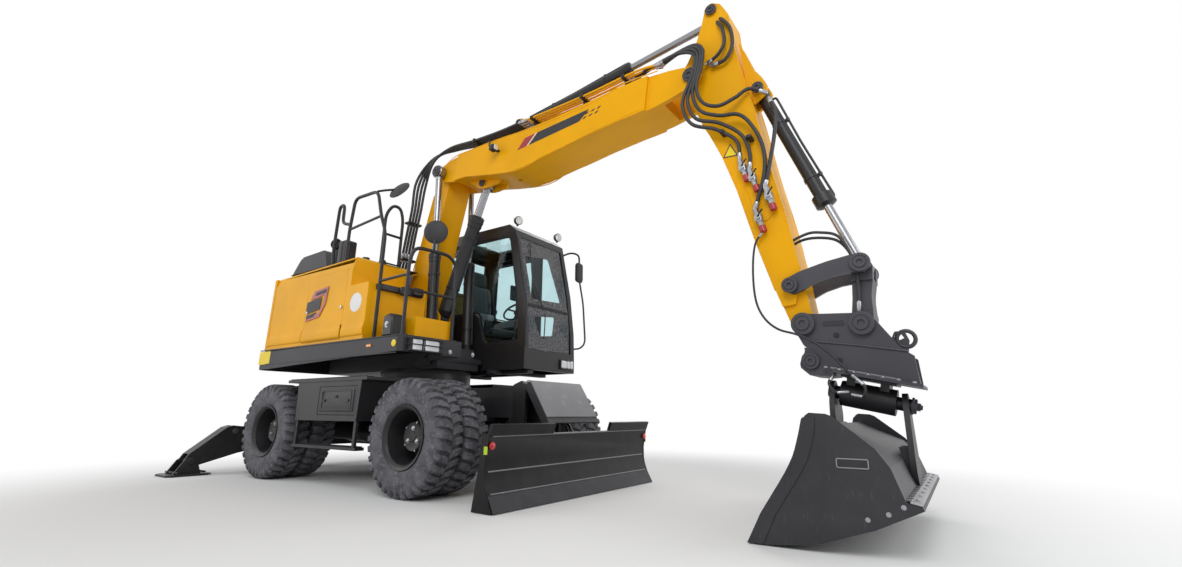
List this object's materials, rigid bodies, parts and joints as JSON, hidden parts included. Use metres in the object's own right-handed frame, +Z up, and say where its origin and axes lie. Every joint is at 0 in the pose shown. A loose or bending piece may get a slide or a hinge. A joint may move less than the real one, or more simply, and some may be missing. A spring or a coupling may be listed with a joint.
{
  "type": "wheeled excavator",
  "caption": "Wheeled excavator on twin tyres with a dozer blade in front, outriggers behind, a two-piece boom, stick, quick coupler and a tilting grading bucket.",
  "frame": {"origin": "on the ground under the middle of the machine's overall box", "axes": "+X forward to the blade and boom, +Y to the operator's left, +Z up"},
  "size_m": [7.862, 3.622, 4.5583],
  "materials": {
    "yellow_paint": "gloss",
    "black_paint": "satin",
    "grey_paint": "satin",
    "chrome_rod": "polished",
    "tyre_rubber": "matte",
    "seat_fabric": "matte"
  },
  "bodies": {
    "chassis": {"chassis_frame": "black_paint", "front_axle": "black_paint", "rear_axle": "black_paint", "tool_box_left": "black_paint", "tool_box_right": "black_paint"},
    "upper": {"upper_frame": "grey_paint", "counterweight": "yellow_paint", "engine_housing": "yellow_paint", "engine_block": "grey_paint", "front_toolbox": "yellow_paint", "handrails": "black_paint", "cab_shell": "black_paint", "operator_seat": "seat_fabric"},
    "cab_door": {"cab_door": "black_paint"},
    "engine_hood": {"engine_hood": "black_paint"},
    "service_door_right": {"service_door_right": "yellow_paint"},
    "service_door_left": {"service_door_left": "yellow_paint"},
    "tool_box_door_left": {"tool_box_door_left": "black_paint"},
    "tool_box_door_right": {"tool_box_door_right": "black_paint"},
    "knuckle_left": {"knuckle_left": "black_paint"},
    "knuckle_right": {"knuckle_right": "black_paint"},
    "blade": {"dozer_blade": "black_paint"},
    "lower_boom": {"lower_boom": "yellow_paint"},
    "upper_boom": {"upper_boom": "yellow_paint"},
    "stick": {"stick": "yellow_paint"},
    "rocker": {"rocker": "grey_paint"},
    "link": {"link": "grey_paint"},
    "coupler": {"coupler": "grey_paint", "tilt_actuator": "black_paint"},
    "bucket": {"bucket": "grey_paint"},
    "wheel_front_left": {"wheel_front_left": "black_paint", "tyres_front_left": "tyre_rubber"},
    "wheel_front_right": {"wheel_front_right": "black_paint", "tyres_front_right": "tyre_rubber"},
    "wheel_rear_left": {"wheel_rear_left": "black_paint", "tyres_rear_left": "tyre_rubber"},
    "wheel_rear_right": {"wheel_rear_right": "black_paint", "tyres_rear_right": "tyre_rubber"},
    "blade_barrel_left": {"blade_barrel_left": "black_paint"},
    "blade_rod_left": {"blade_rod_left": "chrome_rod"},
    "outrigger_leg_left": {"outrigger_leg_left": "black_paint"},
    "outrigger_pad_left": {"outrigger_pad_left": "black_paint"},
    "outrigger_barrel_left": {"outrigger_barrel_left": "black_paint"},
    "outrigger_rod_left": {"outrigger_rod_left": "chrome_rod"},
    "lift_barrel_left": {"lift_barrel_left": "black_paint"},
    "lift_rod_left": {"lift_rod_left": "chrome_rod"},
    "blade_barrel_right": {"blade_barrel_right": "black_paint"},
    "blade_rod_right": {"blade_rod_right": "chrome_rod"},
    "outrigger_leg_right": {"outrigger_leg_right": "black_paint"},
    "outrigger_pad_right": {"outrigger_pad_right": "black_paint"},
    "outrigger_barrel_right": {"outrigger_barrel_right": "black_paint"},
    "outrigger_rod_right": {"outrigger_rod_right": "chrome_rod"},
    "lift_barrel_right": {"lift_barrel_right": "black_paint"},
    "lift_rod_right": {"lift_rod_right": "chrome_rod"},
    "boom_adjust_barrel": {"boom_adjust_barrel": "black_paint"},
    "boom_adjust_rod": {"boom_adjust_rod": "chrome_rod"},
    "stick_barrel": {"stick_barrel": "black_paint"},
    "stick_rod": {"stick_rod": "chrome_rod"},
    "bucket_barrel": {"bucket_barrel": "black_paint"},
    "bucket_rod": {"bucket_rod": "chrome_rod"}
  },
  "joints": [
    {"name": "slew", "type": "hinge", "parent": "chassis", "child": "upper", "pos_m": [-1.381, 0, 1.19], "axis": [0, 0, 1], "continuous": true},
    {"name": "steer_left", "type": "hinge", "parent": "chassis", "child": "knuckle_left", "pos_m": [-0.106, 0.56, 0.53], "axis": [0, 0, 1], "range_deg": [-24, 24]},
    {"name": "steer_right", "type": "hinge", "parent": "chassis", "child": "knuckle_right", "pos_m": [-0.106, -0.56, 0.53], "axis": [0, 0, 1], "range_deg": [-24, 24]},
    {"name": "wheel_front_left_spin", "type": "hinge", "parent": "knuckle_left", "child": "wheel_front_left", "pos_m": [-0.106, 0.955, 0.53], "axis": [0, 1, 0], "continuous": true},
    {"name": "wheel_rear_left_spin", "type": "hinge", "parent": "chassis", "child": "wheel_rear_left", "pos_m": [-2.656, 0.955, 0.53], "axis": [0, 1, 0], "continuous": true},
    {"name": "wheel_front_right_spin", "type": "hinge", "parent": "knuckle_right", "child": "wheel_front_right", "pos_m": [-0.106, -0.955, 0.53], "axis": [0, 1, 0], "continuous": true},
    {"name": "wheel_rear_right_spin", "type": "hinge", "parent": "chassis", "child": "wheel_rear_right", "pos_m": [-2.656, -0.955, 0.53], "axis": [0, 1, 0], "continuous": true},
    {"name": "blade_raise", "type": "hinge", "parent": "chassis", "child": "blade", "pos_m": [0.449, 0, 0.48], "axis": [0, -1, 0], "range_deg": [0, 28]},
    {"name": "blade_barrel_left_swing", "type": "hinge", "parent": "chassis", "child": "blade_barrel_left", "pos_m": [0.469, 0.15, 0.99], "axis": [0, -1, 0], "range_deg": [0, 11]},
    {"name": "blade_rod_left_slide", "type": "slide", "parent": "blade_barrel_left", "child": "blade_rod_left", "axis": [0.5597, 0, -0.8287], "range_m": [-0.17, 0]},
    {"name": "blade_barrel_right_swing", "type": "hinge", "parent": "chassis", "child": "blade_barrel_right", "pos_m": [0.469, -0.15, 0.99], "axis": [0, -1, 0], "range_deg": [0, 11]},
    {"name": "blade_rod_right_slide", "type": "slide", "parent": "blade_barrel_right", "child": "blade_rod_right", "axis": [0.5597, 0, -0.8287], "range_m": [-0.17, 0]},
    {"name": "outrigger_left_raise", "type": "hinge", "parent": "chassis", "child": "outrigger_leg_left", "pos_m": [-3.731, 0.52, 0.4], "axis": [1, 0, 0], "range_deg": [0, 62]},
    {"name": "outrigger_pad_left_tilt", "type": "hinge", "parent": "outrigger_leg_left", "child": "outrigger_pad_left", "pos_m": [-3.731, 1.561, 0.159], "axis": [1, 0, 0], "range_deg": [-30, 30]},
    {"name": "outrigger_barrel_left_swing", "type": "hinge", "parent": "chassis", "child": "outrigger_barrel_left", "pos_m": [-3.731, 0.34, 0.69], "axis": [1, 0, 0], "range_deg": [0, 50]},
    {"name": "outrigger_rod_left_slide", "type": "slide", "parent": "outrigger_barrel_left", "child": "outrigger_rod_left", "axis": [0, 0.9725, -0.2327], "range_m": [-0.36, 0]},
    {"name": "outrigger_right_raise", "type": "hinge", "parent": "chassis", "child": "outrigger_leg_right", "pos_m": [-3.731, -0.52, 0.4], "axis": [-1, 0, 0], "range_deg": [0, 62]},
    {"name": "outrigger_pad_right_tilt", "type": "hinge", "parent": "outrigger_leg_right", "child": "outrigger_pad_right", "pos_m": [-3.731, -1.561, 0.159], "axis": [-1, 0, 0], "range_deg": [-30, 30]},
    {"name": "outrigger_barrel_right_swing", "type": "hinge", "parent": "chassis", "child": "outrigger_barrel_right", "pos_m": [-3.731, -0.34, 0.69], "axis": [-1, 0, 0], "range_deg": [0, 50]},
    {"name": "outrigger_rod_right_slide", "type": "slide", "parent": "outrigger_barrel_right", "child": "outrigger_rod_right", "axis": [0, -0.9725, -0.2327], "range_m": [-0.36, 0]},
    {"name": "lower_boom_raise", "type": "hinge", "parent": "upper", "child": "lower_boom", "pos_m": [-1.301, -0.1, 1.72], "axis": [0, -1, 0], "range_deg": [-50, 5]},
    {"name": "upper_boom_raise", "type": "hinge", "parent": "lower_boom", "child": "upper_boom", "pos_m": [-0.996, -0.1, 3.71], "axis": [0, -1, 0], "range_deg": [-20, 50]},
    {"name": "stick_crowd", "type": "hinge", "parent": "upper_boom", "child": "stick", "pos_m": [2.443, -0.1, 3.816], "axis": [0, 1, 0], "range_deg": [-70, 27]},
    {"name": "coupler_curl", "type": "hinge", "parent": "stick", "child": "coupler", "pos_m": [3.223, -0.1, 1.398], "axis": [0, 1, 0], "range_deg": [-65, 80]},
    {"name": "bucket_tilt", "type": "hinge", "parent": "coupler", "child": "bucket", "pos_m": [3.309, -0.1, 0.925], "axis": [0.9763, 0, -0.2166], "range_deg": [-45, 45]},
    {"name": "rocker_swing", "type": "hinge", "parent": "stick", "child": "rocker", "pos_m": [3.16, -0.1, 1.698], "axis": [0, 1, 0], "range_deg": [-52, 64]},
    {"name": "link_swing", "type": "hinge", "parent": "rocker", "child": "link", "pos_m": [3.657, -0.1, 1.804], "axis": [0, 1, 0], "range_deg": [-38, 31]},
    {"name": "lift_barrel_left_swing", "type": "hinge", "parent": "upper", "child": "lift_barrel_left", "pos_m": [-0.891, 0.18, 1.38], "axis": [0, -1, 0], "range_deg": [-47, 6]},
    {"name": "lift_rod_left_slide", "type": "slide", "parent": "lift_barrel_left", "child": "lift_rod_left", "axis": [-0.045, 0, 0.999], "range_m": [-0.42, 0.05]},
    {"name": "lift_barrel_right_swing", "type": "hinge", "parent": "upper", "child": "lift_barrel_right", "pos_m": [-0.891, -0.38, 1.38], "axis": [0, -1, 0], "range_deg": [-47, 6]},
    {"name": "lift_rod_right_slide", "type": "slide", "parent": "lift_barrel_right", "child": "lift_rod_right", "axis": [-0.045, 0, 0.999], "range_m": [-0.42, 0.05]},
    {"name": "boom_adjust_barrel_swing", "type": "hinge", "parent": "lower_boom", "child": "boom_adjust_barrel", "pos_m": [-1.051, -0.1, 1.855], "axis": [0, -1, 0], "range_deg": [-3, 6]},
    {"name": "boom_adjust_rod_slide", "type": "slide", "parent": "boom_adjust_barrel", "child": "boom_adjust_rod", "axis": [0.377, 0, 0.9262], "range_m": [-0.23, 0.54]},
    {"name": "stick_barrel_swing", "type": "hinge", "parent": "upper_boom", "child": "stick_barrel", "pos_m": [0.179, -0.1, 4.12], "axis": [0, -1, 0], "range_deg": [-6, 8]},
    {"name": "stick_rod_slide", "type": "slide", "parent": "stick_barrel", "child": "stick_rod", "axis": [0.99, 0, 0.141], "range_m": [-0.88, 0.45]},
    {"name": "bucket_barrel_swing", "type": "hinge", "parent": "stick", "child": "bucket_barrel", "pos_m": [3.021, -0.1, 3.526], "axis": [0, -1, 0], "range_deg": [-5, 5]},
    {"name": "bucket_rod_slide", "type": "slide", "parent": "bucket_barrel", "child": "bucket_rod", "axis": [0.3465, 0, -0.9381], "range_m": [-0.42, 0.5]},
    {"name": "engine_hood_lift", "type": "hinge", "parent": "upper", "child": "engine_hood", "pos_m": [-2.941, 0, 2.392], "axis": [0, -1, 0], "range_deg": [0, 55]},
    {"name": "service_door_right_swing", "type": "hinge", "parent": "upper", "child": "service_door_right", "pos_m": [-2.122, -1.232, 1.9], "axis": [0, 0, -1], "range_deg": [0, 95]},
    {"name": "service_door_left_swing", "type": "hinge", "parent": "upper", "child": "service_door_left", "pos_m": [-2.761, 1.232, 1.9], "axis": [0, 0, 1], "range_deg": [0, 95]},
    {"name": "cab_door_swing", "type": "hinge", "parent": "upper", "child": "cab_door", "pos_m": [-1.571, 1.262, 2.2], "axis": [0, 0, 1], "range_deg": [0, 160]},
    {"name": "tool_box_door_left_swing", "type": "hinge", "parent": "chassis", "child": "tool_box_door_left", "pos_m": [-1.296, 1.2, 0.715], "axis": [-1, 0, 0], "range_deg": [0, 90]},
    {"name": "tool_box_door_right_swing", "type": "hinge", "parent": "chassis", "child": "tool_box_door_right", "pos_m": [-1.296, -1.2, 0.715], "axis": [1, 0, 0], "range_deg": [0, 90]}
  ],
  "couplings": [
    {"joint": "steer_right", "follows": "steer_left", "ratio": 1},
    {"joint": "blade_barrel_left_swing", "follows": "blade_raise", "ratio": 0.3787},
    {"joint": "blade_rod_left_slide", "follows": "blade_raise", "m_per_rad": -0.33277},
    {"joint": "blade_barrel_right_swing", "follows": "blade_raise", "ratio": 0.3787},
    {"joint": "blade_rod_right_slide", "follows": "blade_raise", "m_per_rad": -0.33277},
    {"joint": "outrigger_barrel_left_swing", "follows": "outrigger_left_raise", "ratio": 0.79711},
    {"joint": "outrigger_rod_left_slide", "follows": "outrigger_left_raise", "m_per_rad": -0.29892},
    {"joint": "outrigger_barrel_right_swing", "follows": "outrigger_right_raise", "ratio": 0.79711},
    {"joint": "outrigger_rod_right_slide", "follows": "outrigger_right_raise", "m_per_rad": -0.29892},
    {"joint": "rocker_swing", "follows": "coupler_curl", "ratio": 0.775},
    {"joint": "link_swing", "follows": "coupler_curl", "ratio": -0.455},
    {"joint": "lift_barrel_left_swing", "follows": "lower_boom_raise", "ratio": 0.90905},
    {"joint": "lift_rod_left_slide", "follows": "lower_boom_raise", "m_per_rad": 0.45915},
    {"joint": "lift_barrel_right_swing", "follows": "lower_boom_raise", "ratio": 0.90905},
    {"joint": "lift_rod_right_slide", "follows": "lower_boom_raise", "m_per_rad": 0.45915},
    {"joint": "boom_adjust_barrel_swing", "follows": "upper_boom_raise", "ratio": 0.08402},
    {"joint": "boom_adjust_rod_slide", "follows": "upper_boom_raise", "m_per_rad": 0.60056},
    {"joint": "stick_barrel_swing", "follows": "stick_crowd", "ratio": -0.02686},
    {"joint": "stick_rod_slide", "follows": "stick_crowd", "m_per_rad": 0.61011},
    {"joint": "bucket_barrel_swing", "follows": "coupler_curl", "ratio": 0.03},
    {"joint": "bucket_rod_slide", "follows": "coupler_curl", "m_per_rad": 0.33232}
  ]
}
